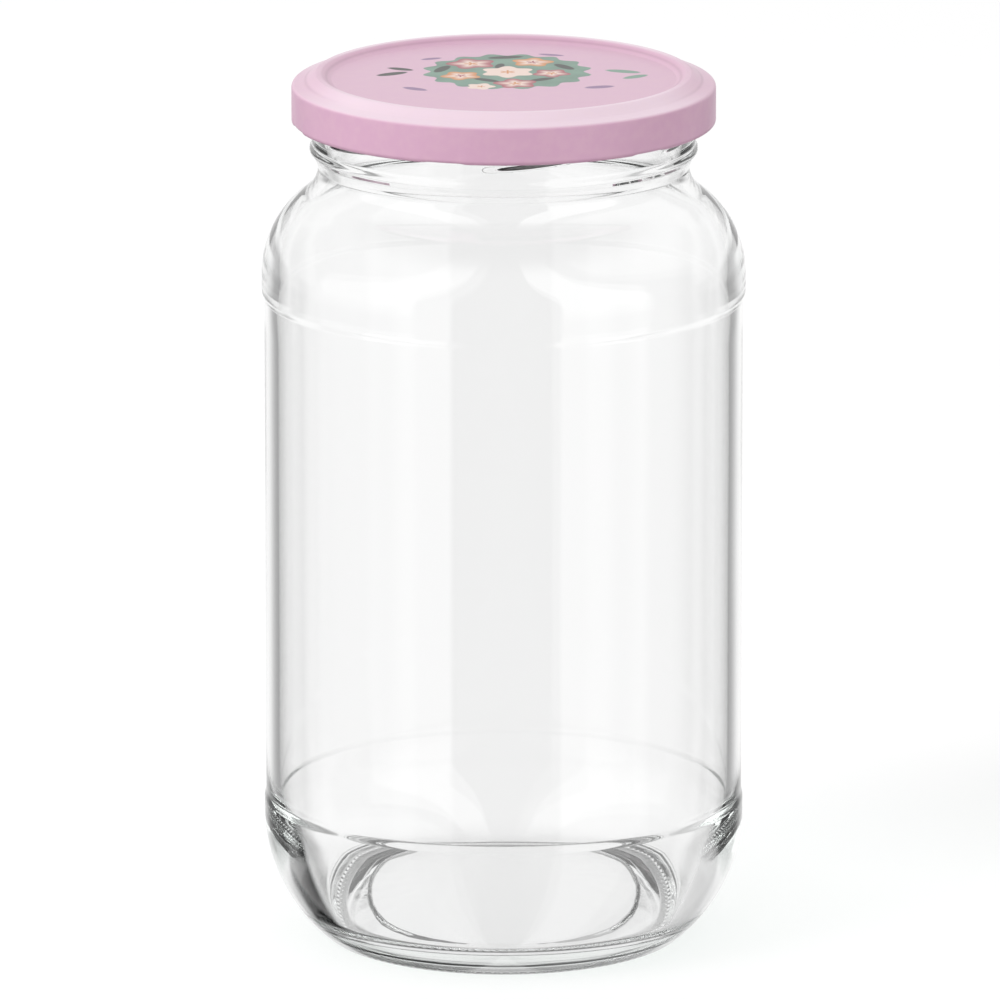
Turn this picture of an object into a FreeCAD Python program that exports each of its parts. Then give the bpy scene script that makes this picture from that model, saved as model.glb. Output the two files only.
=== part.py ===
import FreeCAD, Part
import math
import os

import Sketcher
from FreeCAD import Placement, Rotation, Vector

# A round preserving jar of clear glass with a six-lug twist-off lid of thin steel sheet.
# Millimetres, +Z up. The origin is the middle of the base, on the surface that it stands on.
# Both pieces are turned shapes about Z, closed as the lid sits on the full, tightened thread.

SIZES = [
    # the glass body
    ("jar_height", 178.05, "glass, from the base to the top of the lip"),
    ("body_diameter", 97.7, "glass, at the shoulder"),
    ("heel_recess", 0.25, "the heel's radius is this much under the shoulder's"),
    ("panel_recess", 0.55, "the label panel's radius is this much under the shoulder's"),
    ("heel_band", 3.3, "upright band between the heel's arc and the panel's lower step"),
    ("shoulder_band", 4.0, "upright band between the panel's top step and the shoulder's arc"),
    ("step_height", 1.3, "height over which a step runs out"),
    ("glass_wall", 2.75, "thickness at the panel"),
    # the base
    ("heel_height", 26.0, "where the heel's arc becomes upright"),
    ("heel_arc", 33.0, "radius of the heel's arc"),
    ("foot_round", 2.5, "rounding between the heel and the base"),
    ("bearing_width", 3.2, "width of the ring that the jar stands on, out to the unrounded foot"),
    ("slope_width", 4.6, "width of the slope between that ring and the base's step"),
    ("slope_height", 1.6, "height of that slope"),
    ("step_width", 0.5, "width of the base's step, inside the slope"),
    ("step_rise", 1.1, "height of that step"),
    ("push_up", 4.2, "height of the hollow under the base"),
    ("base_glass", 4.6, "thickness in the middle of the base"),
    ("floor_diameter", 73.0, "edge of the domed floor, inside"),
    ("floor_height", 6.0, "height of that edge"),
    ("floor_round", 5.0, "rounding along that edge"),
    ("inner_heel_height", 32.0, "where the inner heel becomes upright"),
    # the shoulder and the neck
    ("shoulder_arc", 20.4, "radius of the shoulder's arc"),
    ("neck_arc", 7.0, "radius of the neck's hollow arc"),
    ("neck_recess", 1.3, "the neck's radius is this much under the finish's"),
    ("neck_drop", 18.7, "from the lip down to that narrowest part"),
    ("neck_wall", 2.5, "thickness there"),
    # the finish, which takes the lid
    ("finish_diameter", 77.4, "outside of the wall that carries the thread"),
    ("lip_width", 2.8, "thickness of that wall and of its round lip"),
    ("bead_proud", 0.4, "how far the bead under the thread stands out of the wall"),
    ("bead_drop", 15.05, "from the lip down to the bead"),
    ("bead_round", 1.8, "radius of the bead's section"),
    ("thread_count", 6, "ridges, and lugs on the lid"),
    ("thread_proud", 1.5, "how far a ridge stands out of the wall at its middle"),
    ("thread_round", 1.1, "radius of a ridge's section"),
    ("thread_bend", 31.0, "radius that a ridge is bent to, less than the wall's, so that its ends run out"),
    ("thread_span", 82.0, "degrees of that bend"),
    ("thread_tilt", 6.0, "slope of a ridge in degrees"),
    ("thread_drop", 8.75, "from the lip down to a ridge's middle"),
    ("thread_turn", -8.5, "direction of the first ridge's middle, degrees from +X"),
    # the lid
    ("sheet", 0.22, "thickness of the lid's sheet"),
    ("seat_gap", 0.05, "clearance between the lid and the lip that it sits on"),
    ("skirt_gap", 1.3, "clearance between the ridges and the lid's curl"),
    ("curl_round", 0.6, "radius of the curl round the lid's foot"),
    ("lid_height", 9.9, "from the curl's foot to the crest"),
    ("panel_drop", 1.3, "from the crest down to the edge of the lid's panel"),
    ("panel_camber", 0.25, "rise of that panel towards its middle"),
    ("groove_width", 2.0, "width of the slope between the panel and the crest"),
    ("crest_width", 1.1, "width of the flat on the crest"),
    ("ring_width", 1.35, "width of the ring that slopes down outside the crest"),
    ("ring_drop", 1.0, "height that it loses"),
    ("ledge_width", 1.0, "width of the soft step outside the ring"),
    ("ledge_drop", 0.6, "height that it loses"),
    ("crown_drop", 2.05, "from the crest down to the lid's outer corner"),
    ("corner_round", 0.8, "radius of that corner"),
    ("lug_inset", 0.7, "how far a lug reaches under a ridge"),
    ("lug_width", 7.5, "width of a lug along the curl"),
    ("lug_height", 0.6, "height of a lug"),
    ("lug_round", 1.0, "rounding of a lug's two inner corners"),
    ("lid_turn", 13.5, "direction of the first lug, degrees from +X"),
]

doc = FreeCAD.newDocument("preserving_jar")


def make_sheet():
    """The spreadsheet of driving sizes: a name, a number and a note on each row."""
    sheet = doc.addObject("Spreadsheet::Sheet", "Sizes")
    for row, (alias, value, note) in enumerate(SIZES, start=1):
        sheet.set(f"A{row}", alias)
        sheet.set(f"B{row}", str(value))
        sheet.set(f"C{row}", note)
        sheet.setAlias(f"B{row}", alias)
    doc.recompute()
    return sheet


sizes = make_sheet()


def size(alias):
    """A size as it is written in an expression."""
    return f"Sizes.{alias}"


def value(expression):
    """What an expression comes to now."""
    return float(sizes.evalExpression(expression))


def origin_part(body, role):
    """A plane or an axis of a body's own origin."""
    return next(o for o in body.Origin.OriginFeatures if o.Role == role)


def make_body(name, turn):
    """A body whose label names its file, turned about Z."""
    body = doc.addObject("PartDesign::Body", name)
    body.Label = name
    body.Placement = Placement(Vector(0, 0, 0), Rotation(Vector(0, 0, 1), 0))
    body.setExpression("Placement.Rotation.Angle", f"{turn} * 1 deg")
    return body


def make_sketch(body, name, plane):
    """An empty sketch on a plane of the body's origin."""
    sketch = body.newObject("Sketcher::SketchObject", name)
    sketch.AttachmentSupport = (origin_part(body, plane), [""])
    sketch.MapMode = "FlatFace"
    return sketch


def bind(sketch, constraint, expression):
    """Add a dimension to a sketch and bind it to an expression."""
    index = sketch.addConstraint(constraint)
    sketch.setExpression(f"Constraints[{index}]", expression)


def arc_between(start, end, radius):
    """The short arc from start to end. A positive radius has its centre on the left of the way."""
    chord = end - start
    middle = (start + end) * 0.5
    left = Vector(-chord.y, chord.x, 0).normalize()
    depth = math.sqrt(max(radius ** 2 - chord.Length ** 2 / 4, 0))
    centre = middle + left * math.copysign(depth, radius)
    outward = (middle - centre).normalize()
    return Part.Arc(start, centre + outward * abs(radius), end)


def draw_outline(sketch, corners):
    """Draw a closed outline. Each corner is its two coordinates, as expressions, and the radius
    of the arc that runs on to the next corner, as an expression, or None for a straight line.
    An arc that turns right is named with a minus sign in front of its radius."""
    points = [Vector(value(x), value(y), 0) for x, y, _ in corners]
    for index, (_, _, radius) in enumerate(corners):
        start = points[index]
        end = points[(index + 1) % len(points)]
        if radius is None:
            sketch.addGeometry(Part.LineSegment(start, end))
        else:
            sketch.addGeometry(arc_between(start, end, value(radius)))
    for index in range(len(corners)):
        following = (index + 1) % len(corners)
        sketch.addConstraint(Sketcher.Constraint("Coincident", index, tail(sketch, index, True),
                                                 following, tail(sketch, following, False)))
    for index, (x, y, radius) in enumerate(corners):
        head = tail(sketch, index, False)
        for kind, expression, number in (("DistanceX", x, points[index].x), ("DistanceY", y, points[index].y)):
            if abs(number) < 1e-9:
                axis = -2 if kind == "DistanceX" else -1
                sketch.addConstraint(Sketcher.Constraint("PointOnObject", index, head, axis))
            else:
                bind(sketch, Sketcher.Constraint(kind, -1, 1, index, head, number), expression)
        if radius is not None:
            bind(sketch, Sketcher.Constraint("Radius", index, abs(value(radius))), radius.lstrip("-"))
    doc.recompute()


def tail(sketch, index, at_end):
    """Which end of a drawn edge, 1 or 2, is its end or its start: arcs are kept anticlockwise."""
    edge = sketch.Geometry[index]
    if isinstance(edge, Part.ArcOfCircle) and edge.Circle.Axis.z < 0:
        return 1 if at_end else 2
    return 2 if at_end else 1


def turn_outline(body, name, corners, feature="Revolution"):
    """Turn an outline, drawn in the XZ plane, about Z: a Revolution adds and a Groove cuts."""
    sketch = make_sketch(body, f"{name}_outline", "XZ_Plane")
    draw_outline(sketch, corners)
    before = body.Shape.Volume if body.Tip else 0.0
    turned = body.newObject(f"PartDesign::{feature}", name)
    turned.Profile = sketch
    turned.ReferenceAxis = (sketch, ["V_Axis"])
    turned.Angle = 360
    doc.recompute()
    require_change(body, name, before, feature == "Revolution")
    return turned


def turn_ring(body, name, radius_at, height_at, section):
    """Add a ring of round section about Z."""
    sketch = make_sketch(body, f"{name}_section", "XZ_Plane")
    centre = Vector(value(radius_at), value(height_at), 0)
    sketch.addGeometry(Part.Circle(centre, Vector(0, 0, 1), value(section)))
    bind(sketch, Sketcher.Constraint("DistanceX", -1, 1, 0, 3, centre.x), radius_at)
    bind(sketch, Sketcher.Constraint("DistanceY", -1, 1, 0, 3, centre.y), height_at)
    bind(sketch, Sketcher.Constraint("Radius", 0, value(section)), section)
    before = body.Shape.Volume
    ring = body.newObject("PartDesign::Revolution", name)
    ring.Profile = sketch
    ring.ReferenceAxis = (sketch, ["V_Axis"])
    ring.Angle = 360
    doc.recompute()
    require_change(body, name, before, True)


def require_change(body, name, before, adds):
    """Stop unless a feature changed the body's volume the way that it should."""
    change = body.Shape.Volume - before
    if (change > 0) != adds or abs(change) < 1e-6:
        raise RuntimeError(f"{name} changed the volume of {body.Label} by {change:.3f}")


def circles_at(body, radius, height):
    """The names of the body's round edges of one radius at one height."""
    found = []
    for number, edge in enumerate(body.Shape.Edges, start=1):
        if edge.Degenerated or not isinstance(edge.Curve, Part.Circle):
            continue
        if abs(edge.Curve.Radius - radius) < 0.01 and abs(edge.Curve.Center.z - height) < 0.01:
            found.append(f"Edge{number}")
    if not found:
        raise RuntimeError(f"{body.Label} has no edge of radius {radius:.2f} at {height:.2f}")
    return found


def round_edge(body, name, radius_at, height_at, rounding):
    """Fillet a round edge of the body."""
    edges = circles_at(body, value(radius_at), value(height_at))
    base = body.Tip
    fillet = body.newObject("PartDesign::Fillet", name)
    fillet.Base = (base, edges)
    fillet.Radius = value(rounding)
    fillet.setExpression("Radius", rounding)
    body.Tip = fillet
    doc.recompute()


def repeat_round(body, name, features):
    """Repeat features about Z, once for each thread ridge."""
    before = body.Shape.Volume
    pattern = body.newObject("PartDesign::PolarPattern", name)
    pattern.Originals = features
    pattern.Axis = (origin_part(body, "Z_Axis"), [""])
    pattern.Angle = 360
    pattern.Occurrences = int(value(size("thread_count")))
    pattern.setExpression("Occurrences", size("thread_count"))
    body.Tip = pattern
    doc.recompute()
    require_change(body, name, before, True)


# ---- places that both pieces share, as expressions ----

BODY_RADIUS = f"({size('body_diameter')} / 2)"
PANEL_RADIUS = f"({BODY_RADIUS} - {size('panel_recess')})"
HEEL_RADIUS = f"({BODY_RADIUS} - {size('heel_recess')})"
INNER_RADIUS = f"({PANEL_RADIUS} - {size('glass_wall')})"
NECK_HEIGHT = f"({size('jar_height')} - {size('neck_drop')})"
STEP_HALF = f"({size('step_height')} / 2)"
PANEL_FOOT = f"({size('heel_height')} + {size('heel_band')})"
FINISH_RADIUS = f"({size('finish_diameter')} / 2)"
NECK_RADIUS = f"({FINISH_RADIUS} - {size('neck_recess')})"
MOUTH_RADIUS = f"({FINISH_RADIUS} - {size('lip_width')})"
LIP_ROUND = f"({size('lip_width')} / 2)"
LIP_RADIUS = f"({FINISH_RADIUS} - {LIP_ROUND})"
THREAD_RADIUS = f"({FINISH_RADIUS} + {size('thread_proud')})"
LID_RADIUS = f"({THREAD_RADIUS} + {size('skirt_gap')} + 2 * {size('curl_round')})"
CREST_HEIGHT = f"({size('jar_height')} + {size('seat_gap')} + {size('sheet')})"
CURL_FOOT = f"({CREST_HEIGHT} - {size('lid_height')})"
CURL_MIDDLE = f"({CURL_FOOT} + {size('curl_round')})"
# The heel's arc would meet the standing plane at this radius, before the foot is rounded.
BASE_EDGE = f"({HEEL_RADIUS} - {size('heel_arc')} + sqrt({size('heel_arc')}^2 - {size('heel_height')}^2))"


def shoulder_curve(wall, arc, hollow, neck_radius):
    """The corners of a shoulder that turns in from an upright wall by an arc and runs, by a
    hollow arc that it touches, upright into the neck. The neck's height is fixed, and the
    shoulder's height follows from the two arcs."""
    reach = f"({neck_radius} + {hollow} - ({wall} - {arc}))"
    rise = f"sqrt(({arc} + {hollow})^2 - {reach}^2)"
    foot = f"({NECK_HEIGHT} - {rise})"
    share = f"{arc} / ({arc} + {hollow})"
    return [
        (wall, foot, arc),
        (f"{wall} - {arc} + {reach} * {share}", f"{foot} + {rise} * {share}", f"-{hollow}"),
        (neck_radius, NECK_HEIGHT, None),
    ], foot


def glass_outline():
    """The jar's outside: base, heel, recessed label panel, shoulder, neck and finish."""
    shoulder, foot = shoulder_curve(BODY_RADIUS, size("shoulder_arc"), size("neck_arc"), NECK_RADIUS)
    panel_top = f"({foot} - {size('shoulder_band')})"
    finish_foot = f"{size('jar_height')} - {size('bead_drop')}"
    lip_foot = f"{size('jar_height')} - {LIP_ROUND}"
    return [
        ("0", "0", None),
        (BASE_EDGE, "0", size("heel_arc")),
        (HEEL_RADIUS, size("heel_height"), None),
        (HEEL_RADIUS, f"{PANEL_FOOT} - {STEP_HALF}", None),
        (PANEL_RADIUS, f"{PANEL_FOOT} + {STEP_HALF}", None),
        (PANEL_RADIUS, f"{panel_top} - {STEP_HALF}", None),
        (BODY_RADIUS, f"{panel_top} + {STEP_HALF}", None),
        *shoulder,
        (FINISH_RADIUS, finish_foot, None),
        (FINISH_RADIUS, lip_foot, None),
        (MOUTH_RADIUS, lip_foot, None),
        (MOUTH_RADIUS, finish_foot, None),
        ("0", finish_foot, None),
    ]


def cavity_outline():
    """The jar's inside: domed floor, inner heel, upright wall, inner shoulder and mouth."""
    inner_neck = f"({NECK_RADIUS} - {size('neck_wall')})"
    shoulder, _ = shoulder_curve(INNER_RADIUS, f"({size('shoulder_arc')} - {size('glass_wall')})",
                                 f"({size('neck_arc')} + {size('neck_wall')})", inner_neck)
    floor_middle = f"{size('push_up')} + {size('base_glass')}"
    floor_edge = f"{size('floor_diameter')} / 2"
    dome_rise = f"({floor_middle} - {size('floor_height')})"
    dome_arc = f"((({floor_edge})^2 + {dome_rise}^2) / (2 * {dome_rise}))"
    # the arc that leaves the floor's edge and ends upright at the inner wall
    run = f"({INNER_RADIUS} - {floor_edge})"
    climb = f"({size('inner_heel_height')} - {size('floor_height')})"
    inner_heel_arc = f"(({run}^2 + {climb}^2) / (2 * {run}))"
    mouth_foot = f"{size('jar_height')} - {size('bead_drop')}"
    top = f"{size('jar_height')} + {size('lid_height')}"
    return [
        ("0", floor_middle, f"-{dome_arc}"),
        (floor_edge, size("floor_height"), inner_heel_arc),
        (INNER_RADIUS, size("inner_heel_height"), None),
        *shoulder,
        (MOUTH_RADIUS, mouth_foot, None),
        (MOUTH_RADIUS, top, None),
        ("0", top, None),
    ]


def hollow_outline():
    """The hollow under the base: a slope inside the bearing ring, a small step and a dome."""
    edge = f"({BASE_EDGE} - {size('bearing_width')})"
    step = f"({edge} - {size('slope_width')})"
    step_top = f"({size('slope_height')} + {size('step_rise')})"
    run = f"({step} - {size('step_width')})"
    rise = f"({size('push_up')} - {step_top})"
    dome_arc = f"(({run}^2 + {rise}^2) / (2 * {rise}))"
    return [
        ("0", "0", None),
        (edge, "0", None),
        (step, size("slope_height"), None),
        (run, step_top, dome_arc),
        ("0", size("push_up"), None),
    ]


def add_ridge(body):
    """One thread ridge: a round section turned about an axis that leans by the thread's slope
    and stands nearer to the ridge than the jar's own axis does."""
    section_at = f"({THREAD_RADIUS} - {size('thread_round')})"
    sketch = make_sketch(body, "ridge_section", "XZ_Plane")
    sketch.AttachmentOffset = Placement(Vector(0, 0, 0), Rotation(Vector(1, 0, 0), 1))
    sketch.setExpression("AttachmentOffset.Base.x", f"{section_at} - {size('thread_bend')}")
    sketch.setExpression("AttachmentOffset.Base.y", f"{size('jar_height')} - {size('thread_drop')}")
    sketch.setExpression("AttachmentOffset.Rotation.Angle", f"{size('thread_tilt')} * 1 deg")
    centre = Vector(value(size("thread_bend")), 0, 0)
    sketch.addGeometry(Part.Circle(centre, Vector(0, 0, 1), value(size("thread_round"))))
    bind(sketch, Sketcher.Constraint("DistanceX", -1, 1, 0, 3, centre.x), size("thread_bend"))
    sketch.addConstraint(Sketcher.Constraint("PointOnObject", 0, 3, -1))
    bind(sketch, Sketcher.Constraint("Radius", 0, value(size("thread_round"))), size("thread_round"))
    before = body.Shape.Volume
    ridge = body.newObject("PartDesign::Revolution", "ridge")
    ridge.Profile = sketch
    ridge.ReferenceAxis = (sketch, ["V_Axis"])
    ridge.Midplane = True
    ridge.setExpression("Angle", size("thread_span"))
    doc.recompute()
    require_change(body, "ridge", before, True)
    return ridge


def make_jar():
    """The glass jar, in one piece: outside, bead, rounded lip, cavity, hollow base and thread."""
    body = make_body("jar", size("thread_turn"))
    turn_outline(body, "outside", glass_outline())
    turn_ring(body, "bead", f"{FINISH_RADIUS} + {size('bead_proud')} - {size('bead_round')}",
              f"{size('jar_height')} - {size('bead_drop')}", size("bead_round"))
    turn_outline(body, "cavity", cavity_outline(), "Groove")
    turn_ring(body, "lip", LIP_RADIUS, f"{size('jar_height')} - {LIP_ROUND}", LIP_ROUND)
    turn_outline(body, "hollow", hollow_outline(), "Groove")
    round_edge(body, "foot", BASE_EDGE, "0", size("foot_round"))
    round_edge(body, "floor", f"{size('floor_diameter')} / 2", size("floor_height"), size("floor_round"))
    repeat_round(body, "thread", [add_ridge(body)])
    return body


def lid_outline(inset):
    """The half-section under the lid's upper face, from the panel over the crest and the
    sloping ring to the skirt. The inner outline is the same one, lower and narrower by the sheet."""
    crest = f"({CREST_HEIGHT} - {inset})"
    crest_in = f"({LIP_RADIUS} - {size('crest_width')} / 2)"
    crest_out = f"({LIP_RADIUS} + {size('crest_width')} / 2)"
    panel = f"({crest} - {size('panel_drop')})"
    panel_edge = f"({crest_in} - {size('groove_width')})"
    camber_arc = f"(({panel_edge}^2 + {size('panel_camber')}^2) / (2 * {size('panel_camber')}))"
    ring_out = f"({crest_out} + {size('ring_width')})"
    ring_foot = f"({crest} - {size('ring_drop')})"
    ledge_out = f"({ring_out} + {size('ledge_width')})"
    corner = f"({size('corner_round')} - {inset})"
    skirt = f"({LID_RADIUS} - {inset})"
    crown = f"({crest} - {size('crown_drop')})"
    foot = CURL_MIDDLE if inset == "0" else CURL_FOOT
    return [
        ("0", f"{panel} + {size('panel_camber')}", f"-{camber_arc}"),
        (panel_edge, panel, None),
        (crest_in, crest, None),
        (crest_out, crest, None),
        (ring_out, ring_foot, None),
        (ledge_out, f"{ring_foot} - {size('ledge_drop')}", None),
        (f"{skirt} - {corner}", crown, f"-{corner}"),
        (skirt, f"{crown} - {corner}", None),
        (skirt, foot, None),
        ("0", foot, None),
    ]


def add_lug(body):
    """One lug: the curl pressed inwards, level with it, to hook under a thread ridge."""
    sketch = make_sketch(body, "lug_outline", "XY_Plane")
    sketch.setExpression("AttachmentOffset.Base.z", f"{CURL_MIDDLE} - {size('lug_height')} / 2")
    tip = f"({THREAD_RADIUS} - {size('lug_inset')})"
    root = f"({LID_RADIUS} - {size('curl_round')})"
    half = f"{size('lug_width')} / 2"
    draw_outline(sketch, [
        (tip, f"-{half} + {size('lug_round')}", None),
        (tip, f"{half} - {size('lug_round')}", f"-{size('lug_round')}"),
        (f"{tip} + {size('lug_round')}", half, None),
        (root, half, None),
        (root, f"-{half}", None),
        (f"{tip} + {size('lug_round')}", f"-{half}", f"-{size('lug_round')}"),
    ])
    before = body.Shape.Volume
    lug = body.newObject("PartDesign::Pad", "lug")
    lug.Profile = sketch
    lug.setExpression("Length", size("lug_height"))
    doc.recompute()
    require_change(body, "lug", before, True)
    return lug


def make_lid():
    """The lid: thin sheet over the mouth, a skirt, a curl round its foot and the lugs."""
    body = make_body("lid", size("lid_turn"))
    turn_outline(body, "upper", lid_outline("0"))
    turn_outline(body, "under", lid_outline(size("sheet")), "Groove")
    turn_ring(body, "curl", f"{LID_RADIUS} - {size('curl_round')}", CURL_MIDDLE, size("curl_round"))
    repeat_round(body, "lugs", [add_lug(body)])
    return body


def check(parts):
    """Stop if any object failed, or any piece isn't one sound solid."""
    for obj in doc.Objects:
        if "Invalid" in obj.State or "Error" in obj.State:
            raise RuntimeError(f"{obj.Name} failed: {obj.State}")
    for part in parts:
        shape = part.Shape
        if shape.isNull() or not shape.isValid() or len(shape.Solids) != 1:
            raise RuntimeError(f"{part.Label} isn't one valid solid")


def write(parts):
    """Write each piece to its own file, named by its label."""
    os.makedirs("parts", exist_ok=True)
    for part in parts:
        part.Shape.exportStep(f"parts/{part.Label}.step")
        box = part.Shape.optimalBoundingBox()
        print(f"{part.Label}: {part.Shape.Volume / 1000:.2f} cm3, "
              f"z {box.ZMin:.2f} to {box.ZMax:.2f}, across {box.XLength:.2f}")


pieces = [make_jar(), make_lid()]
check(pieces)
write(pieces)
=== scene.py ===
import math

import bpy
import numpy as np
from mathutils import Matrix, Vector


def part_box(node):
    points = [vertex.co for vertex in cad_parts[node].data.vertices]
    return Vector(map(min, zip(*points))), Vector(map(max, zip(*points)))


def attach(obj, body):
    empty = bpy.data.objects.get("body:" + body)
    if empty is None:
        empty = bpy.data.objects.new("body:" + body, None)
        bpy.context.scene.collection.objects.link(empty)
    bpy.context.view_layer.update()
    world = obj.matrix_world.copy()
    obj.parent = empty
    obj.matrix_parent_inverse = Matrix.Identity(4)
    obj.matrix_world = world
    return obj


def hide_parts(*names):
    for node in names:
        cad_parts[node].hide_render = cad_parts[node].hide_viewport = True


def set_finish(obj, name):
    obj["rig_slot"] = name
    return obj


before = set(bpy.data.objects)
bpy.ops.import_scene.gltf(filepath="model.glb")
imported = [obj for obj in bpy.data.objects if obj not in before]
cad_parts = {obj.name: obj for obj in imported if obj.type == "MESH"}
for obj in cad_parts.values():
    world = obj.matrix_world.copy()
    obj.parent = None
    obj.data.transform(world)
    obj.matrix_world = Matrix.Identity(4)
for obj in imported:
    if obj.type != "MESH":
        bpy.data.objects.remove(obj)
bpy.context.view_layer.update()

bl_info = {
    "name": "Preserving Jar",
    "version": (1, 0, 0),
    "blender": (4, 5, 0),
    "location": "View3D > Sidebar > Jar",
    "description": "Builds a round glass preserving jar with a lacquered twist-off lid",
    "category": "Add Mesh",
}

MM = 0.001
POINT_SPACING = 0.1 * MM
# stretches that are softened one by one meet on a straight line of this length
JOIN = 1 * MM
# the bead's half height over its rounding
BEAD_REACH = 0.75
GLASS_SEGMENTS = 280
LID_SEGMENTS = 480
RIDGES = 6
LUGS = 6
JAR_NODE = "jar"
LID_NODE = "lid"
GLASS_SLOT = "clear_glass"
LACQUER_SLOT = "lacquered_steel"


# ---------------------------------------------------------------- settings


def length(name, millimetres, description):
    """A length for a settings group. It is given in millimetres and kept in metres."""
    return bpy.props.FloatProperty(
        name=name,
        description=description,
        default=millimetres * MM,
        precision=5,
        unit="LENGTH",
    )


def number(name, default, description):
    """A plain number for a settings group."""
    return bpy.props.FloatProperty(
        name=name, description=description, default=default, precision=4
    )


def angle(name, degrees, description):
    """An angle for a settings group. It is given in degrees and kept in radians."""
    return bpy.props.FloatProperty(
        name=name,
        description=description,
        default=math.radians(degrees),
        subtype="ANGLE",
    )


def colour(name, red, green, blue, description):
    """A colour for a settings group. It is given as it looks on a screen and kept linear."""
    return bpy.props.FloatVectorProperty(
        name=name,
        description=description,
        default=tuple(linear(part / 255) for part in (red, green, blue)),
        subtype="COLOR",
        size=3,
        min=0,
        max=1,
    )


def linear(value):
    """The linear light that a screen shows for a value from 0 to 1."""
    if value <= 0.04045:
        return value / 12.92
    return ((value + 0.055) / 1.055) ** 2.4


class JarGlassSettings(bpy.types.PropertyGroup):
    """Sizes of the glass. Its overall width and height come from the frame."""

    heel_recess: length("Heel recess", 0.25, "Heel's radius under the shoulder's")
    panel_recess: length("Panel recess", 0.55, "Label panel's radius under the shoulder's")
    wall: length("Wall", 2.75, "Thickness at the label panel")
    heel_height: length("Heel height", 26, "Where the heel becomes upright")
    heel_arc: length("Heel arc", 33, "Radius of the heel's arc")
    heel_band: length("Heel band", 3.3, "Upright band over the heel's arc")
    step_height: length("Step height", 1.3, "Height over which a step runs out")
    foot_round: length("Foot rounding", 2.5, "Rounding between heel and base")
    bearing_width: length("Bearing width", 3.2, "Ring that the jar stands on")
    slope_width: length("Slope width", 4.6, "Slope between that ring and the step")
    slope_height: length("Slope height", 1.6, "Height of that slope")
    ledge_width: length("Step width", 0.5, "Width of the step inside the slope")
    ledge_height: length("Step rise", 1.1, "Height of the step")
    push_up: length("Push-up", 4.2, "Height of the hollow under the base")
    base_glass: length("Base glass", 4.6, "Thickness in the middle of the base")
    floor_radius: length("Floor radius", 36.5, "Edge of the domed floor inside")
    floor_height: length("Floor height", 6, "Height of that edge")
    floor_round: length("Floor rounding", 3.2, "Softening along that edge")
    inner_heel: length("Inner heel", 32, "Where the inside becomes upright")
    shoulder_band: length("Shoulder band", 4, "Upright band under the shoulder")
    shoulder_arc: length("Shoulder arc", 20.4, "Radius of the shoulder")
    neck_arc: length("Neck arc", 7, "Radius of the neck's hollow")
    neck_recess: length("Neck recess", 1.3, "Neck's radius under the finish's")
    neck_wall: length("Neck wall", 2.5, "Thickness at the neck")
    neck_drop: length("Neck drop", 18.7, "From the lip down to the narrowest part")
    finish_radius: length("Finish radius", 38.7, "Wall that carries the thread")
    lip_width: length("Lip width", 2.8, "Thickness of the round lip")
    bead_proud: length("Bead", 0.4, "How far the bead under the thread stands out")
    bead_drop: length("Bead drop", 15.05, "From the lip down to the bead")
    bead_round: length("Bead rounding", 1.8, "Radius of the bead's section")
    ridge_proud: length("Ridge", 1.5, "How far a thread ridge stands out")
    ridge_width: length("Ridge width", 3.2, "Width of a thread ridge")
    ridge_bend: length("Ridge bend", 31, "Radius that a ridge is bent to")
    ridge_drop: length("Ridge drop", 8.75, "From the lip down to a ridge's middle")
    ridge_tilt: angle("Ridge tilt", 6, "Slope of a ridge")
    ridge_turn: angle("Ridge turn", -8.5, "Direction of the first ridge's middle")
    bead_flat: length("Bead flat", 0.6, "Upright band on the bead")
    bead_shelf: length("Bead shelf", 0.8, "How far the bead's underside slopes in")
    softness: length("Softness", 0.4, "How far blown glass rounds its outer steps")
    base_softness: length("Base softness", 0.25, "How far it rounds the steps under the base")
    inner_softness: length("Inner softness", 1.15, "How far it rounds the inside")
    ripple: number("Ripple", 0.004, "Unevenness of the hollow under the base")
    ripple_height: length("Ripple height", 6, "Height over which that runs out")
    ripple_radius: length("Ripple radius", 32, "Radius at which it has run out")
    wave_depth: length("Wave depth", 0.06, "Depth of the waves in the blown surface")
    knurl_in: length("Knurls inside", 34.2, "Inside of the ring of knurls under the foot")
    knurl_out: length("Knurls outside", 36.6, "Outside of that ring")
    knurl_depth: length("Knurl depth", 0.05, "Depth of a knurl")
    knurl_count: number("Knurls", 130, "Waves of knurls in the ring")
    # painted shade: thin dark rims low on the foot stand in for the shade that its glass shows
    painted_rim_radius: length("Rim radius", 36, "The foot's dark rims are outside this radius")
    painted_rim_wander: length("Rim wander", 0.5, "How far those rims wander up and down")
    tint: colour("Tint", 216, 222, 219, "What deep glass lets through")
    tint_depth: length("Tint depth", 150, "Depth of glass that takes that tint")
    # painted shade: the dark grey of the foot's rims
    rim: colour("Rim", 96, 98, 98, "Dark rims low on the foot, where it sends light away")


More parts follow.
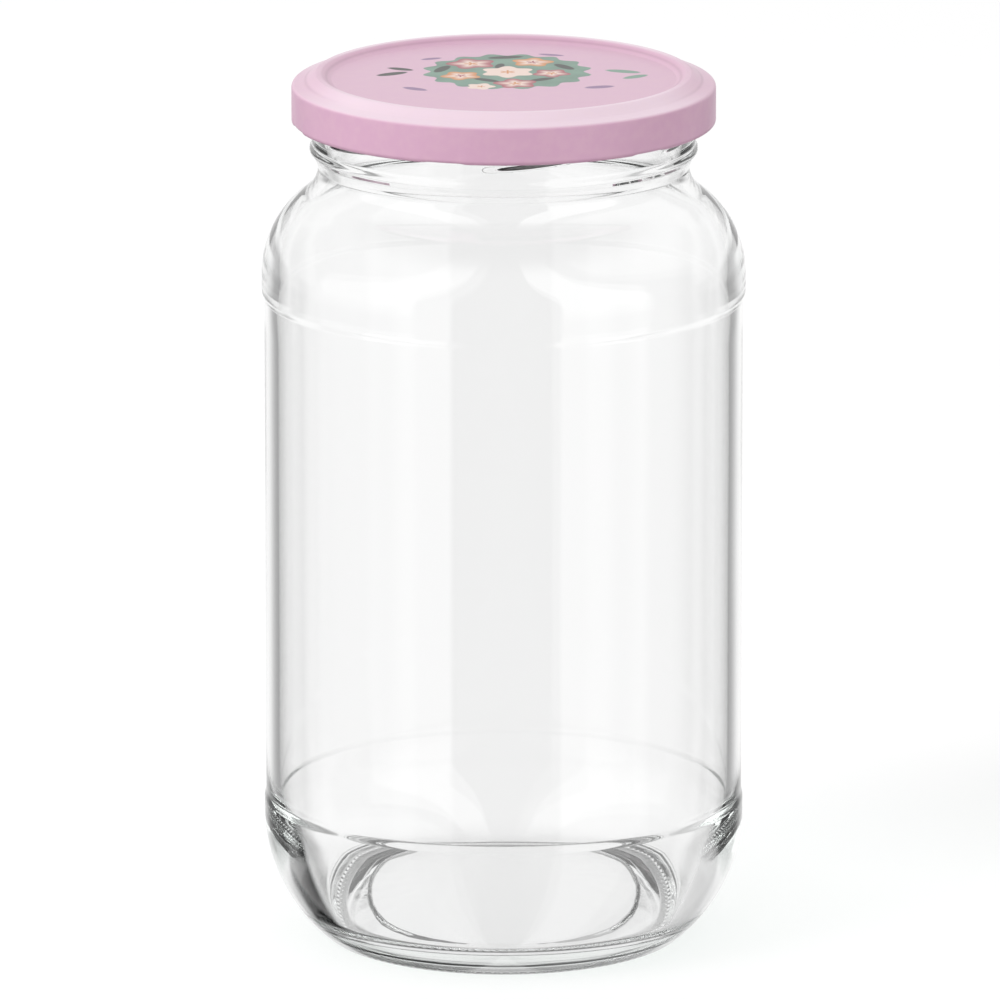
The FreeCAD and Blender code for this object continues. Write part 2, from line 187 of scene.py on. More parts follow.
class JarLidSettings(bpy.types.PropertyGroup):
    """Sizes and colours of the lid. Its width and height come from the frame."""

    sheet: length("Sheet", 0.22, "Thickness of the steel")
    crest_radius: length("Crest radius", 37.3, "Middle of the crest over the lip")
    crest_width: length("Crest width", 1.1, "Flat on the crest")
    groove_width: length("Groove width", 2, "Slope between panel and crest")
    panel_drop: length("Panel drop", 1.3, "From the crest down to the panel's edge")
    panel_camber: length("Panel camber", 0.25, "Rise of the panel to its middle")
    ring_width: length("Ring width", 1.35, "Ring that slopes down outside the crest")
    ring_drop: length("Ring drop", 1, "Height that it loses")
    ledge_width: length("Ledge width", 1, "Soft step outside the ring")
    ledge_drop: length("Ledge drop", 0.6, "Height that it loses")
    crown_drop: length("Crown drop", 2.05, "From the crest down to the corner")
    corner_round: length("Corner rounding", 0.8, "Radius of the corner")
    curl_round: length("Curl", 0.6, "Radius of the curl round the foot")
    lug_reach: length("Lug reach", 2, "How far a lug stands in from the curl")
    lug_width: angle("Lug width", 10.4, "Width of a lug, round the lid")
    lug_turn: angle("Lug turn", 13.5, "Direction of the first lug")
    lug_dent: length("Lug dent", 0.18, "Dent that a lug leaves in the skirt")
    dent_height: length("Dent height", 4, "Height over which that dent runs out")
    softness: length("Softness", 0.25, "How far pressing rounds the sheet's bends")
    crown_at: length("Crown", 7.85, "From the curl's foot up to the lid's corner")
    # painted highlight: where the paler crest and ring begin and where they are palest
    painted_shine_in: length("Shine inside", 36.2, "Where the paler crest begins")
    painted_shine_full: length("Shine full", 37, "Where it is palest")
    # painted shade: thin darker lines in the groove and along the sides of the sloping ring
    groove_shade_line: length("Groove line", 35.7, "Dark line between panel and crest")
    ring_shade_line: length("Ring line", 39.9, "Dark line along the sides of the sloping ring")
    print_radius: length("Print radius", 34.2, "Edge of the printed panel")
    # painted light: the skirt's pink and the paler pink above the crown are shaded and lit copies
    # of one lacquer
    lacquer: colour("Lacquer", 196, 153, 178, "Pink lacquer on the skirt")
    top: colour("Top", 212, 172, 194, "Pink lacquer on the panel and its groove")
    # painted highlight: the pale colour on the crest and sloping ring
    painted_shine: colour("Shine", 230, 207, 220, "Crest and sloping ring, which catch the light")
    # painted shade: the darker pink on the skirt's foot and in the lines beside the crest and ring
    curl: colour("Curl", 150, 108, 132, "Shaded foot of the skirt")
    sage: colour("Sage", 112, 148, 130, "Medallion")
    leaf: colour("Leaf", 32, 40, 28, "Dark leaves")
    mauve: colour("Mauve", 140, 108, 146, "Small sprigs")
    rose: colour("Rose", 164, 66, 82, "Petals")
    apricot: colour("Apricot", 206, 130, 62, "Petals")
    cream: colour("Cream", 232, 208, 196, "Petals")
    # partly painted shade: the lid's inside is coated, and this dark grey-brown stands in for the
    # shade under the lid
    varnish: colour("Varnish", 58, 56, 54, "Inside of the lid")


class JarStageSettings(bpy.types.PropertyGroup):
    """Camera, light and floor. These aren't part of the object."""

    camera_distance: length("Distance", 3000, "From the camera to the jar")
    camera_rise: angle("Rise", 13.77, "How far the camera looks down")
    camera_aim: length("Aim", 89, "Height that it looks at")
    focal_length: number("Focal length", 533.5, "In millimetres, on a 36 mm sensor")
    shift_across: number("Shift across", -0.0037, "Sideways shift of the lens")
    shift_up: number("Shift up", 0.004, "Upward shift of the lens")
    floor_size: length("Floor", 12000, "Width of the floor")
    ring_in: length("Ring inside", 32.7, "Inside of the ring that touches the floor")
    ring_out: length("Ring outside", 35.5, "Outside of that ring")
    ring_shade: number("Ring shade", 0.7, "How dark that ring looks through the glass")
    floor_shade: number("Floor shade", 0.12, "How dark the floor under the jar looks through it")
    sky: number("Sky", 0.9, "Light from all round")
    sky_lean: number("Sky lean", 0.12, "How much less of it comes from the right")
    key: number("Key", 16, "Power of the soft lamp, in watts")
    key_size: length("Key size", 900, "Width of that lamp")
    bounces: bpy.props.IntProperty(
        name="Bounces", description="How many surfaces light is followed past", default=24
    )


class Shared:
    """Where an operator finds the settings."""

    @staticmethod
    def glass():
        return bpy.context.scene.jar_glass

    @staticmethod
    def lid():
        return bpy.context.scene.jar_lid

    @staticmethod
    def stage():
        return bpy.context.scene.jar_stage


# ---------------------------------------------------------------- profiles


def line(start, end):
    """Points 0.1 mm apart along a straight line, without its end."""
    start, end = np.array(start, float), np.array(end, float)
    count = max(2, int(np.linalg.norm(end - start) / POINT_SPACING))
    share = np.arange(count)[:, None] / count
    return start + (end - start) * share


def lines(*corners):
    """Points along straight lines from corner to corner, without the last corner."""
    return np.vstack([line(start, end) for start, end in zip(corners, corners[1:])])


def arc(start, end, radius):
    """Points about 0.1 mm apart along the short arc of that radius, without its end. With a
    positive radius the way turns left, so the centre is on its left."""
    start, end = np.array(start, float), np.array(end, float)
    chord = end - start
    span = np.linalg.norm(chord)
    left = np.array([-chord[1], chord[0]]) / span
    depth = math.sqrt(max(radius**2 - span**2 / 4, 0))
    centre = (start + end) / 2 + left * math.copysign(depth, radius)
    first = math.atan2(*(start - centre)[::-1])
    turn = 2 * math.asin(min(1, span / 2 / abs(radius)))
    count = max(6, int(abs(turn * radius) / POINT_SPACING))
    way = first + math.copysign(turn, radius) * np.arange(count) / count
    return centre + abs(radius) * np.stack([np.cos(way), np.sin(way)], 1)


def soften(points, reach):
    """The same line with its corners rounded: it is laid out in steps of 0.1 mm and each point
    becomes the middle of its neighbours within reach. Both ends stay where they are."""
    steps = np.linalg.norm(np.diff(points, axis=0), axis=1)
    along = np.concatenate([[0], np.cumsum(steps)])
    count = int(along[-1] / POINT_SPACING) + 1
    even = np.linspace(0, along[-1], count)
    laid = np.stack([np.interp(even, along, points[:, i]) for i in (0, 1)], 1)
    half = max(1, int(reach / POINT_SPACING))
    before = 2 * laid[0] - laid[half:0:-1]
    after = 2 * laid[-1] - laid[-2 : -half - 2 : -1]
    padded = np.vstack([before, laid, after])
    window = np.ones(2 * half + 1) / (2 * half + 1)
    return np.stack([np.convolve(padded[:, i], window, "valid") for i in (0, 1)], 1)


def thin(points, turn, spacing):
    """Fewer points, with their directions: one for each turn (an angle) of the line, and one
    for each spacing (a length), counted together along it."""
    chords = np.diff(points, axis=0)
    steps = np.linalg.norm(chords, axis=1)
    heading = np.unwrap(np.arctan2(chords[:, 1], chords[:, 0]))
    bends = np.abs(np.diff(heading, prepend=heading[0]))
    weight = np.concatenate([[0], np.cumsum(bends / turn + steps / spacing)])
    wanted = np.linspace(0, weight[-1], max(3, int(weight[-1]) + 1))
    place = np.interp(wanted, weight, np.arange(len(points)))
    spots = np.arange(len(points))
    kept = np.stack([np.interp(place, spots, points[:, i]) for i in (0, 1)], 1)
    middle = np.interp(place, spots[:-1] + 0.5, heading)
    return np.column_stack([kept, np.cos(middle), np.sin(middle)])


def revolve(name, rows, segments, bend=None):
    """A closed surface of revolution about Z. rows holds a radius, a height and the direction
    of the profile in each row; the first and last rows are on the axis. bend moves radius and
    height as a function of radius, height and angle. The normals come from the moved surface
    itself: each is the cross product of its slopes round the axis and along the profile."""

    def place(radius, height, turn):
        if bend is not None:
            radius, height = bend(radius, height, turn)
        return np.stack([radius * np.cos(turn), radius * np.sin(turn), height], -1)

    body = rows[1:-1]
    turn = np.arange(segments) * 2 * math.pi / segments
    radius, around = np.meshgrid(body[:, 0], turn, indexing="ij")
    height = np.repeat(body[:, 1:2], segments, 1)
    step = POINT_SPACING / 10
    step_turn = step / (30 * MM)
    along = body[:, 2:4] * step
    there = place(radius + along[:, :1], height + along[:, 1:], around)
    here = place(radius - along[:, :1], height - along[:, 1:], around)
    right = place(radius, height, around + step_turn)
    left = place(radius, height, around - step_turn)
    normals = np.cross(right - left, there - here).reshape(-1, 3)
    normals /= np.linalg.norm(normals, axis=1)[:, None]
    points = place(radius, height, around).reshape(-1, 3)
    poles = np.array([[0, 0, rows[0, 1]], [0, 0, rows[-1, 1]]])
    pole_normals = np.array([[0, 0, -rows[0, 2]], [0, 0, -rows[-1, 2]]])
    points = np.vstack([points, poles])
    normals = np.vstack([normals, pole_normals])
    rings = len(body)
    index = np.arange(rings * segments).reshape(rings, segments)
    following = np.roll(index, -1, 1)
    quads = np.stack([index[:-1], following[:-1], following[1:], index[1:]], -1).reshape(-1, 4)
    first, last = rings * segments, rings * segments + 1
    start = np.stack([np.full(segments, first), following[0], index[0]], -1)
    end = np.stack([np.full(segments, last), index[-1], following[-1]], -1)
    mesh = bpy.data.meshes.new(name)
    mesh.from_pydata(points.tolist(), [], quads.tolist() + start.tolist() + end.tolist())
    mesh.polygons.foreach_set("use_smooth", np.ones(len(mesh.polygons), bool))
    mesh.normals_split_custom_set_from_vertices(normals.tolist())
    mesh.validate()
    piece = bpy.data.objects.new(name, mesh)
    bpy.context.scene.collection.objects.link(piece)
    return piece


# ---------------------------------------------------------------- node trees


class Graph:
    """A node tree that is written as arithmetic."""

    def __init__(self, tree):
        self.tree = tree
        tree.nodes.clear()

    def node(self, kind, settings=None, sockets=None):
        """Add a node, set its settings, and fill its sockets with constants or values."""
        node = self.tree.nodes.new(kind)
        for key, value in (settings or {}).items():
            setattr(node, key, value)
        for key, value in (sockets or {}).items():
            self.fill(node.inputs[key], value)
        return node

    def fill(self, socket, value):
        """Put a constant on a socket, or link a value to it."""
        if isinstance(value, Number):
            value = value.socket
        if isinstance(value, bpy.types.NodeSocket):
            self.tree.links.new(value, socket)
        elif hasattr(value, "__len__") and socket.type == "RGBA":
            socket.default_value = (*value, 1)[:4]
        else:
            socket.default_value = value

    def number(self, kind, output=0, settings=None, sockets=None):
        """Add a node and take one of its outputs as a number."""
        return Number(self, self.node(kind, settings, sockets).outputs[output])

    def mix(self, share, first, second):
        """The colour that is first where share is 0 and second where it is 1."""
        node = self.node("ShaderNodeMix", {"data_type": "RGBA"})
        colours = [s for s in node.inputs if s.type == "RGBA"]
        self.fill(node.inputs[0], share)
        self.fill(colours[0], first)
        self.fill(colours[1], second)
        return next(s for s in node.outputs if s.type == "RGBA")

    def blend(self, share, first, second):
        """The shader that is first where share is 0 and second where it is 1."""
        return self.node("ShaderNodeMixShader", None, {0: share, 1: first, 2: second}).outputs[0]

    def position(self, output="Object"):
        """Three numbers: where a point is, or which way a ray goes."""
        source = self.node("ShaderNodeTexCoord").outputs[output]
        split = self.node("ShaderNodeSeparateXYZ", None, {0: source})
        return [Number(self, s) for s in split.outputs]

    def noise(self, scale, detail=3.0, stretch=(1, 1, 1)):
        """Soft noise over Object coordinates, in metres, from 0 to 1."""
        source = self.node("ShaderNodeTexCoord").outputs["Object"]
        scaled = self.node("ShaderNodeMapping", None, {"Vector": source, "Scale": stretch})
        return self.number("ShaderNodeTexNoise", 0, None,
                           {"Vector": scaled.outputs[0], "Scale": scale, "Detail": detail})


class Number:
    """A number that varies over a surface. Arithmetic on it adds Math nodes."""

    def __init__(self, graph, socket):
        self.graph = graph
        self.socket = socket

    def apply(self, operation, *values):
        """Put values through a Math node."""
        return self.graph.number("ShaderNodeMath", 0, {"operation": operation},
                                 dict(enumerate(values)))

    def __add__(self, other):
        return self.apply("ADD", self, other)

    __radd__ = __add__

    def __sub__(self, other):
        return self.apply("SUBTRACT", self, other)

    def __rsub__(self, other):
        return self.apply("SUBTRACT", other, self)

    def __mul__(self, other):
        return self.apply("MULTIPLY", self, other)

    __rmul__ = __mul__

    def __truediv__(self, other):
        return self.apply("DIVIDE", self, other)

    def __rtruediv__(self, other):
        return self.apply("DIVIDE", other, self)

    def __pow__(self, other):
        return self.apply("POWER", self, other)

    def __abs__(self):
        return self.apply("ABSOLUTE", self)

    def __neg__(self):
        return self.apply("MULTIPLY", self, -1.0)

    def cos(self):
        return self.apply("COSINE", self)

    def sin(self):
        return self.apply("SINE", self)

    def root(self):
        return self.apply("SQRT", self)

    def angle(self, other):
        """The angle whose tangent is this number over the other."""
        return self.apply("ARCTAN2", self, other)

    def most(self, other):
        return self.apply("MAXIMUM", self, other)

    def rise(self, low, high):
        """0 at low and under, 1 at high and over, smooth between. Low may be the greater."""
        return self.graph.number("ShaderNodeMapRange", 0, {"interpolation_type": "SMOOTHSTEP"},
                                 {"Value": self, "From Min": low, "From Max": high})

    def band(self, low, high, edge):
        """1 from low to high, 0 beyond, with soft edges."""
        return self.rise(low - edge, low + edge) * self.rise(high + edge, high - edge)


def new_material(name, slot):
    """An empty material with its graph, and the name of the record's slot on it."""
    material = bpy.data.materials.new(name)
    material.use_nodes = True
    material["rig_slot"] = slot
    return material, Graph(material.node_tree)


def ray_is(graph, kind):
    """1 for rays of that kind, 0 for others."""
    path = graph.node("ShaderNodeLightPath")
    return Number(graph, path.outputs[f"Is {kind} Ray"])


def seen_and_sent(graph):
    """1 for rays seen by the camera itself, and 1 for rays that gloss or glass sends on."""
    sent = ray_is(graph, "Glossy").most(ray_is(graph, "Transmission"))
    return ray_is(graph, "Camera"), sent


# ---------------------------------------------------------------- the glass


def shoulder(neck, wall, round_arc, hollow_arc):
    """The height of a shoulder's foot, and the point where its round arc meets the neck's hollow
    arc. neck is the narrowest point, where the hollow arc is upright, and wall is the radius
    at the foot, where the round arc is upright."""
    reach = neck[0] + hollow_arc - (wall - round_arc)
    rise = math.sqrt((round_arc + hollow_arc) ** 2 - reach**2)
    share = round_arc / (round_arc + hollow_arc)
    low = neck[1] - rise
    return low, (wall - round_arc + reach * share, low + rise * share)


def base_profile(glass, bearing):
    """The hollow under the base: a dome, a small step and a slope out to the bearing ring."""
    ledge = bearing[0] - glass.slope_width
    hollow = ledge - glass.ledge_width
    ledge_top = glass.slope_height + glass.ledge_height
    rise = glass.push_up - ledge_top
    dome_arc = (hollow**2 + rise**2) / (2 * rise)
    join = (bearing[0] + JOIN, 0)
    return np.vstack([
        arc((0, glass.push_up), (hollow, ledge_top), -dome_arc),
        lines((hollow, ledge_top), (ledge, glass.slope_height), bearing, join),
        [join],
    ])


def outer_profile(glass, body_radius, neck, bearing, finish_foot, bead):
    """The outside from the bearing ring up to the finish: the foot's rounding, the heel's arc,
    the label panel between its two steps, the shoulder, the neck and the bead."""
    heel_radius = body_radius - glass.heel_recess
    panel_radius = body_radius - glass.panel_recess
    foot = glass.foot_round
    heel_centre = np.array([heel_radius - glass.heel_arc, glass.heel_height])
    foot_reach = math.sqrt((glass.heel_arc - foot) ** 2 - (glass.heel_height - foot) ** 2)
    foot_centre = np.array([heel_centre[0] + foot_reach, foot])
    outward = (foot_centre - heel_centre) / np.linalg.norm(foot_centre - heel_centre)
    foot_top = heel_centre + outward * glass.heel_arc
    low, meet = shoulder(neck, body_radius, glass.shoulder_arc, glass.neck_arc)
    panel_foot = glass.heel_height + glass.heel_band
    panel_top = low - glass.shoulder_band
    half = glass.step_height / 2
    bead_radius = glass.finish_radius + glass.bead_proud
    bead_half = glass.bead_flat / 2
    bead_reach = glass.bead_round * BEAD_REACH
    return np.vstack([
        line((bearing[0] + JOIN, 0), (foot_centre[0], 0)),
        arc((foot_centre[0], 0), foot_top, foot),
        arc(foot_top, (heel_radius, glass.heel_height), glass.heel_arc),
        lines(
            (heel_radius, glass.heel_height), (heel_radius, panel_foot - half),
            (panel_radius, panel_foot + half), (panel_radius, panel_top - half),
            (body_radius, panel_top + half), (body_radius, low),
        ),
        arc((body_radius, low), meet, glass.shoulder_arc),
        arc(meet, neck, -glass.neck_arc),
        lines(
            neck, (bead_radius - glass.bead_shelf, bead - bead_reach),
            (bead_radius, bead - bead_half), (bead_radius, bead + bead_half),
            (glass.finish_radius, bead + bead_reach), finish_foot,
        ),
        [finish_foot],
    ])


def inner_profiles(glass, inner_radius, neck, lip_foot, bead):
    """The inside in two stretches: from the lip down to the wall's foot, and from there round
    the inner heel to the middle of the domed floor."""
    mouth = glass.finish_radius - glass.lip_width
    inner_neck = (neck[0] - glass.neck_wall, neck[1])
    inner_round = glass.shoulder_arc - glass.wall
    inner_hollow = glass.neck_arc + glass.neck_wall
    low, meet = shoulder(inner_neck, inner_radius, inner_round, inner_hollow)
    run = inner_radius - glass.floor_radius
    climb = glass.inner_heel - glass.floor_height
    heel_arc = (run**2 + climb**2) / (2 * run)
    heel_top = (inner_radius, glass.inner_heel)
    wall_foot = (inner_radius, glass.inner_heel + 6 * JOIN)
    floor_edge = (glass.floor_radius, glass.floor_height)
    middle = glass.push_up + glass.base_glass
    dome = middle - glass.floor_height
    dome_arc = (glass.floor_radius**2 + dome**2) / (2 * dome)
    inside = np.vstack([
        lines((mouth, lip_foot), (mouth, bead), inner_neck),
        arc(inner_neck, meet, inner_hollow),
        arc(meet, (inner_radius, low), -inner_round),
        line((inner_radius, low), wall_foot),
        [wall_foot],
    ])
    floor = np.vstack([
        line(wall_foot, heel_top),
        arc(heel_top, floor_edge, -heel_arc),
        arc(floor_edge, (0, middle), dome_arc),
        [(0, middle)],
    ])
    return inside, floor


def jar_profile(glass, body_radius, lip_top):
    """The half-section of the glass, from the middle of the base round the outside, over the
    lip and down the inside to the middle of the floor. It is made of straight lines and arcs
    that touch: the heel's arc is upright at the heel's height, the shoulder's arc is upright
    at its foot and meets the neck's hollow arc, which is upright at the narrowest part."""
    neck = (glass.finish_radius - glass.neck_recess, lip_top - glass.neck_drop)
    base_reach = math.sqrt(glass.heel_arc**2 - glass.heel_height**2)
    base_edge = body_radius - glass.heel_recess - glass.heel_arc + base_reach
    bearing = (base_edge - glass.bearing_width, 0)
    bead = lip_top - glass.bead_drop
    finish_foot = (glass.finish_radius, bead + glass.bead_round * BEAD_REACH + 0.4 * JOIN)
    lip = glass.lip_width / 2
    lip_foot = lip_top - lip
    over = (glass.finish_radius - lip, lip_top)
    finish_top, mouth_top = (glass.finish_radius, lip_foot), (over[0] - lip, lip_foot)
    rim = np.vstack([arc(finish_top, over, lip), arc(over, mouth_top, lip)])
    under = base_profile(glass, bearing)
    outside = outer_profile(glass, body_radius, neck, bearing, finish_foot, bead)
    inner_radius = body_radius - glass.panel_recess - glass.wall
    inside, floor = inner_profiles(glass, inner_radius, neck, lip_foot, bead)
    fine, coarse, lip_turn = np.radians([3, 5, 9])
    sparse, threaded = 9 * MM, 0.28 * MM
    return np.vstack([
        thin(soften(under, glass.base_softness), coarse, 3 * MM),
        thin(soften(outside, glass.softness), fine, sparse)[1:],
        thin(line(finish_foot, finish_top), fine, threaded)[1:],
        thin(rim, lip_turn, 2 * MM)[1:],
        thin(soften(inside, glass.inner_softness), fine, sparse),
        thin(soften(floor, glass.floor_round), coarse, 4 * MM)[1:],
    ])


def thread(glass, lip_top):
    """How the finish swells into thread ridges. A ridge's middle line is an arc that is bent
    more than the wall and leans by the ridge's tilt, so that both its ends run out into the
    wall; its section is a raised cosine."""
    crest = glass.finish_radius + glass.ridge_proud
    offset = crest - glass.ridge_bend
    own = np.linspace(-math.pi / 3, math.pi / 3, 241)
    across = offset + glass.ridge_bend * np.cos(own)
    sideways = glass.ridge_bend * np.sin(own)
    lean = math.cos(glass.ridge_tilt)
    turn_at = np.arctan2(sideways * lean, across)
    radius_at = np.hypot(sideways * lean, across)
    height_at = lip_top - glass.ridge_drop + sideways * math.sin(glass.ridge_tilt)

    def bend(radius, height, turn):
        low = lip_top - glass.bead_drop + 1.2 * MM
        outer = radius > glass.finish_radius - 0.05 * MM
        swell = np.zeros_like(radius)
        for ridge in range(RIDGES):
            middle = glass.ridge_turn + ridge * 2 * math.pi / RIDGES
            offset_turn = (turn - middle + math.pi) % (2 * math.pi) - math.pi
            proud = np.interp(offset_turn, turn_at, radius_at, left=0, right=0)
            proud = np.clip(proud - glass.finish_radius, 0, None)
            centre = np.interp(offset_turn, turn_at, height_at)
            across = np.clip(np.abs(height - centre) / (glass.ridge_width / 2), 0, 1)
            swell = np.maximum(swell, proud * (0.5 + 0.5 * np.cos(math.pi * across)))
        inside = np.clip((height - low) / (0.5 * MM), 0, 1)
        radius = np.where(outer, radius + swell * inside, radius)
        uneven = np.sin(7 * turn + 0.4) + 0.6 * np.sin(17 * turn + 1.3) + 0.4 * np.sin(41 * turn)
        low_down = np.clip(1 - height / glass.ripple_height, 0, 1)
        inward = np.clip((glass.ripple_radius - radius) / (3 * MM), 0, 1)
        return radius * (1 + glass.ripple * uneven * low_down * inward), height

    return bend


# painted shade on the foot: heights of a rim's lower and upper edge, softness of the edges (mm),
# and how dark it is
PAINTED_FOOT_RIMS = ((2.5, 3.1, 0.12, 0.85), (1, 2.2, 0.2, 0.4), (3.6, 3.8, 0.1, 0.35))


def glass_material(glass):
    """Clear soda-lime glass. Light from lamps passes through it unbent, so that it casts a light
    shadow; blown unevenness is a very shallow bump, the base carries a ring of fine knurls, the
    foot has thin dark rims of painted shade, and the glass takes a faint grey-green tint with
    depth."""
    material, graph = new_material("clear_glass", GLASS_SLOT)
    x, y, z = graph.position()
    radius = (x * x + y * y).root()
    turn = x.angle(y)
    waves = graph.noise(26, 2, (1, 1, 0.35)) * glass.wave_depth
    knurl_at = radius.band(glass.knurl_in, glass.knurl_out, 0.4 * MM) * z.rise(1 * MM, 0.5 * MM)
    knurls = (turn * glass.knurl_count).sin() * glass.knurl_depth * knurl_at
    bump = graph.node("ShaderNodeBump", None,
                      {"Strength": 1.0, "Distance": 1.0, "Height": waves + knurls})
    wander = z + (graph.noise(90, 3) - 0.5) * glass.painted_rim_wander
    # painted shade: dark, mirror-like rims low on the foot
    rims = 0
    for start, end, edge, dark in PAINTED_FOOT_RIMS:
        rims = wander.band(start * MM, end * MM, edge * MM) * dark + rims
    rims = rims * radius.rise(glass.painted_rim_radius - 0.4 * MM, glass.painted_rim_radius)
    surface = graph.node("ShaderNodeBsdfPrincipled", None, {
        "Base Color": graph.mix(rims, (1, 1, 1), tuple(glass.rim)),
        "Metallic": rims,
        "Roughness": 0.0,
        "IOR": 1.51,
        "Transmission Weight": 1.0,
        "Normal": bump.outputs[0],
    })
    clear = graph.node("ShaderNodeBsdfTransparent", None, {"Color": (0.96, 0.97, 0.965)})
    unbent = ray_is(graph, "Shadow").most(ray_is(graph, "Diffuse"))
    both = graph.blend(unbent, surface.outputs[0], clear.outputs[0])
    depth = graph.node("ShaderNodeVolumeAbsorption", None,
                       {"Color": tuple(glass.tint), "Density": 1 / glass.tint_depth})
    graph.node("ShaderNodeOutputMaterial", None, {"Surface": both, "Volume": depth.outputs[0]})
    return material


class JAR_OT_glass(bpy.types.Operator):
    """Build the glass jar as one closed surface and give it its glass"""

    bl_idname = "jar.glass"
    bl_label = "Glass Jar"

    def execute(self, context):
        glass = Shared.glass()
        low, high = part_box(JAR_NODE)
        rows = jar_profile(glass, (high.x - low.x) / 2, high.z)
        piece = revolve("jar_glass", rows, GLASS_SEGMENTS, thread(glass, high.z))
        piece.data.materials.append(glass_material(glass))
        finish_piece(piece, JAR_NODE, GLASS_SLOT)
        return {"FINISHED"}


def finish_piece(piece, node, slot):
    """Hang a piece on the frame in place of its CAD node."""
    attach(piece, "root")
    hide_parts(node)
    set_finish(piece, slot)


# ---------------------------------------------------------------- the lid


def lid_profile(lid, outer_radius, crest, foot):
    """The half-section of the sheet, from the middle of its underside out and down the skirt,
    round the curl, up the outside and in over the crest to the middle of the panel. The
    underside is the upper face moved down its own normals by the sheet's thickness."""
    crest_in = lid.crest_radius - lid.crest_width / 2
    crest_out = lid.crest_radius + lid.crest_width / 2
    panel_edge = crest_in - lid.groove_width
    panel = crest - lid.panel_drop
    ring_out = crest_out + lid.ring_width
    ring_foot = crest - lid.ring_drop
    ledge_out = ring_out + lid.ledge_width
    crown = crest - lid.crown_drop
    corner = lid.corner_round
    camber_arc = (panel_edge**2 + lid.panel_camber**2) / (2 * lid.panel_camber)
    curl = lid.curl_round
    curl_centre = np.array([outer_radius - curl, foot + curl])
    upper = soften(np.vstack([
        line((outer_radius, foot + curl), (outer_radius, crown - corner)),
        arc((outer_radius, crown - corner), (outer_radius - corner, crown), corner),
        lines(
            (outer_radius - corner, crown), (ledge_out, ring_foot - lid.ledge_drop),
            (ring_out, ring_foot), (crest_out, crest), (crest_in, crest), (panel_edge, panel),
        ),
        arc((panel_edge, panel), (0, panel + lid.panel_camber), camber_arc),
        [(0, panel + lid.panel_camber)],
    ]), lid.softness)
    slope = np.gradient(upper, axis=0)
    slope /= np.linalg.norm(slope, axis=1)[:, None]
    normal = np.stack([slope[:, 1], -slope[:, 0]], 1)
    under = (upper - normal * lid.sheet)[::-1]
    under[0, 0] = 0
    way = np.radians(np.linspace(-300, 0, 90)[1:-1])
    round_curl = curl_centre + curl * np.stack([np.cos(way), np.sin(way)], 1)
    under = under[under[:, 1] > foot + 1.8 * curl]
    line_in = np.vstack([under, round_curl, upper])
    return thin(line_in, math.radians(7), 3 * MM)


def lugs(lid, outer_radius, foot):
    """How the curl is pressed in to six lugs, and the shallow dents that this leaves in the
    skirt over them."""

    def bend(radius, height, turn):
        pitch = 2 * math.pi / LUGS
        offset = np.abs((turn - lid.lug_turn + pitch / 2) % pitch - pitch / 2)
        share = np.clip((lid.lug_width / 2 - offset) / (0.28 * lid.lug_width) + 0.5, 0, 1)
        share = share * share * (3 - 2 * share)
        low = np.clip((foot + 2.2 * lid.curl_round - height) / (0.4 * MM), 0, 1)
        inner = np.clip((outer_radius - radius) / (2 * lid.curl_round), 0, 1)
        reach = lid.lug_reach * share * low * inner
        climb = np.clip((height - foot) / lid.dent_height, 0, 1)
        dent = lid.lug_dent * share * np.cos(climb * math.pi / 2) ** 2
        outer = radius > outer_radius - 2.2 * lid.curl_round
        return radius - reach - np.where(outer, dent, 0), height

    return bend


def petals(graph, x, y, centre, size, count, turn, depth=0.13):
    """How far a point is inside a blossom, in metres: the rim is a circle with count scallops."""
    dx, dy = x - centre[0], y - centre[1]
    away = (dx * dx + dy * dy).root()
    rim = ((dx.angle(dy) + turn) * count).cos() * (depth * size) + size * (1 - depth)
    return rim - away


def oval(x, y, centre, half_long, half_wide, turn):
    """How far a point is inside a leaf, roughly in metres. The leaf is an ellipse."""
    dx, dy = x - centre[0], y - centre[1]
    along = dx * math.cos(turn) + dy * math.sin(turn)
    across = dy * math.cos(turn) - dx * math.sin(turn)
    away = ((along / half_long) ** 2 + (across / half_wide) ** 2).root()
    return (1 - away) * half_wide


# centre across and back (mm), radius, petals, turn, colour
BLOSSOMS = (
    (-6.5, 13.5, 5.2, 5, 0.3, "rose"),
    (5.8, 15.0, 4.4, 5, 1.1, "apricot"),
    (0.8, 5.4, 5.6, 6, 0.0, "cream"),
    (9.6, 4.2, 4.0, 5, 0.7, "rose"),
    (-8.6, 1.8, 4.2, 5, 0.5, "apricot"),
    (2.4, -5.6, 4.6, 5, 0.2, "rose"),
    (-4.6, -8.4, 3.0, 5, 0.9, "cream"),
)
# centre across and back (mm), half length, half width, turn, colour
LEAVES = (
    (0.4, 19.8, 3.6, 1.3, 0.2, "leaf"),
    (-12.4, 8.4, 3.4, 1.2, 1.2, "leaf"),
    (12.2, 10.6, 3.2, 1.2, -1.0, "leaf"),
    (7.6, -1.8, 3.0, 1.1, 0.6, "leaf"),
    (-3.4, -2.4, 3.0, 1.1, -0.6, "leaf"),
    (-0.8, 11.2, 2.4, 0.9, 1.4, "leaf"),
    (-22.5, 4.0, 3.4, 1.3, 0.5, "leaf"),
    (-20.8, 8.6, 2.8, 1.1, -0.5, "leaf"),
    (24.0, 6.5, 3.6, 1.4, -0.3, "sage"),
    (26.5, 1.5, 3.0, 1.2, 0.7, "sage"),
    (-14.6, 18.6, 2.2, 0.9, 0.4, "mauve"),
    (9.6, 22.4, 2.6, 0.9, -0.3, "mauve"),
    (19.2, -8.6, 3.0, 1.2, 0.3, "mauve"),
    (-17.8, -10.4, 2.8, 1.1, -0.6, "mauve"),
)
# centre across and back (mm), radius, scallops
MEDALLION = (0.7, 6.0, 17.2, 16)


